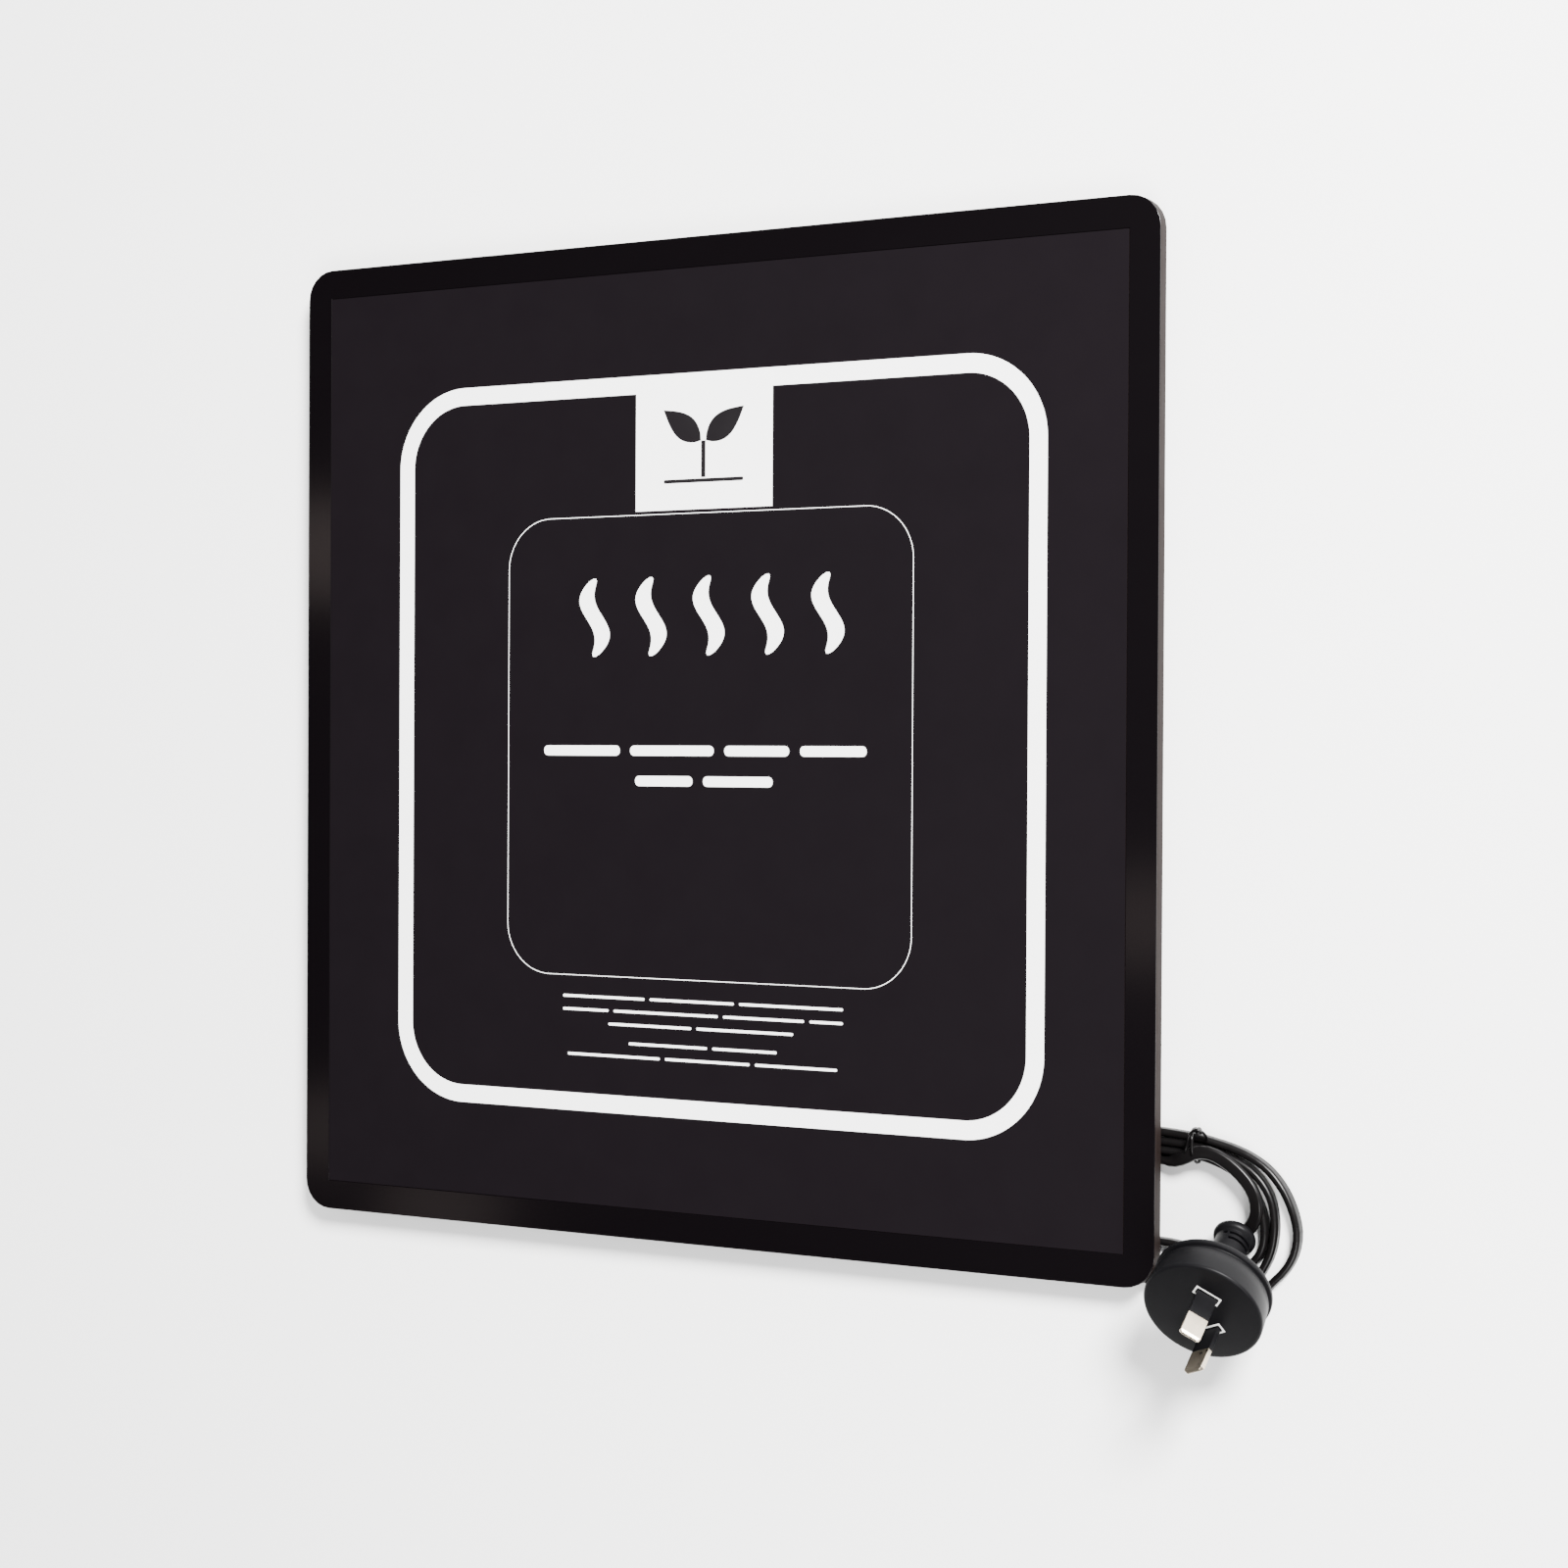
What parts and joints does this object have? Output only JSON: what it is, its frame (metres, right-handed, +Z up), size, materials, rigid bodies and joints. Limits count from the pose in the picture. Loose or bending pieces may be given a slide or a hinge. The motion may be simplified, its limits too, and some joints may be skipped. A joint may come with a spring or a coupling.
{
  "type": "seedling heat mat",
  "caption": "Thin square mat that warms seed trays from below: a sealed heating slab with a printed face, on rubber feet, with its lead entry underneath and a tied flat lead with its plug.",
  "frame": {"origin": "under the middle of the mat, on the surface its feet stand on", "axes": "+Z up out of the printed face, +Y to the top edge of the print, +X to the side where the lead and plug lie"},
  "size_m": [0.3646, 0.3469, 0.0509],
  "materials": {
    "tray_black": "fine satin grain",
    "gloss_black": "gloss",
    "face_print": "matt print",
    "rubber": "matt",
    "foam": "soft foam sheet",
    "glass_cloth": "woven",
    "aluminium": "bright foil",
    "resistance_wire": "drawn",
    "screw_steel": "plain",
    "cord_black": "satin",
    "plug_black": "satin",
    "seat_grey": "plain",
    "nickel": "satin nickel plate",
    "live_brown": "plain",
    "neutral_blue": "plain",
    "copper": "plain",
    "fuse_cream": "plain"
  },
  "bodies": {
    "root": {"base_tray": "tray_black", "clamp_screw_1": "screw_steel", "clamp_screw_2": "screw_steel", "cord_clamp": "tray_black", "cord_hank": "cord_black", "cord_lead": "cord_black", "cord_strain_relief": "rubber", "cord_tail": "cord_black", "cord_tie": "cord_black", "cutout_link_wire": "live_brown", "edge_seal": "rubber", "element_carrier": "glass_cloth", "entry_housing": "tray_black", "foot_bottom_left": "rubber", "foot_bottom_right": "rubber", "foot_middle_left": "rubber", "foot_middle_right": "rubber", "foot_top_left": "rubber", "foot_top_right": "rubber", "heat_spreader": "aluminium", "heating_wire": "resistance_wire", "housing_screw_1": "screw_steel", "housing_screw_2": "screw_steel", "housing_screw_3": "screw_steel", "housing_screw_4": "screw_steel", "insulation_pad": "foam", "live_crimp": "copper", "live_wire": "live_brown", "neutral_crimp": "copper", "neutral_wire": "neutral_blue", "pin_sleeve_active": "plug_black", "pin_sleeve_neutral": "plug_black", "plug_body": "plug_black", "plug_pin_active": "nickel", "plug_pin_bridge": "seat_grey", "plug_pin_neutral": "nickel", "printed_face_sheet": "face_print", "thermal_cutout": "fuse_cream", "top_panel": "gloss_black"}
  },
  "joints": []
}
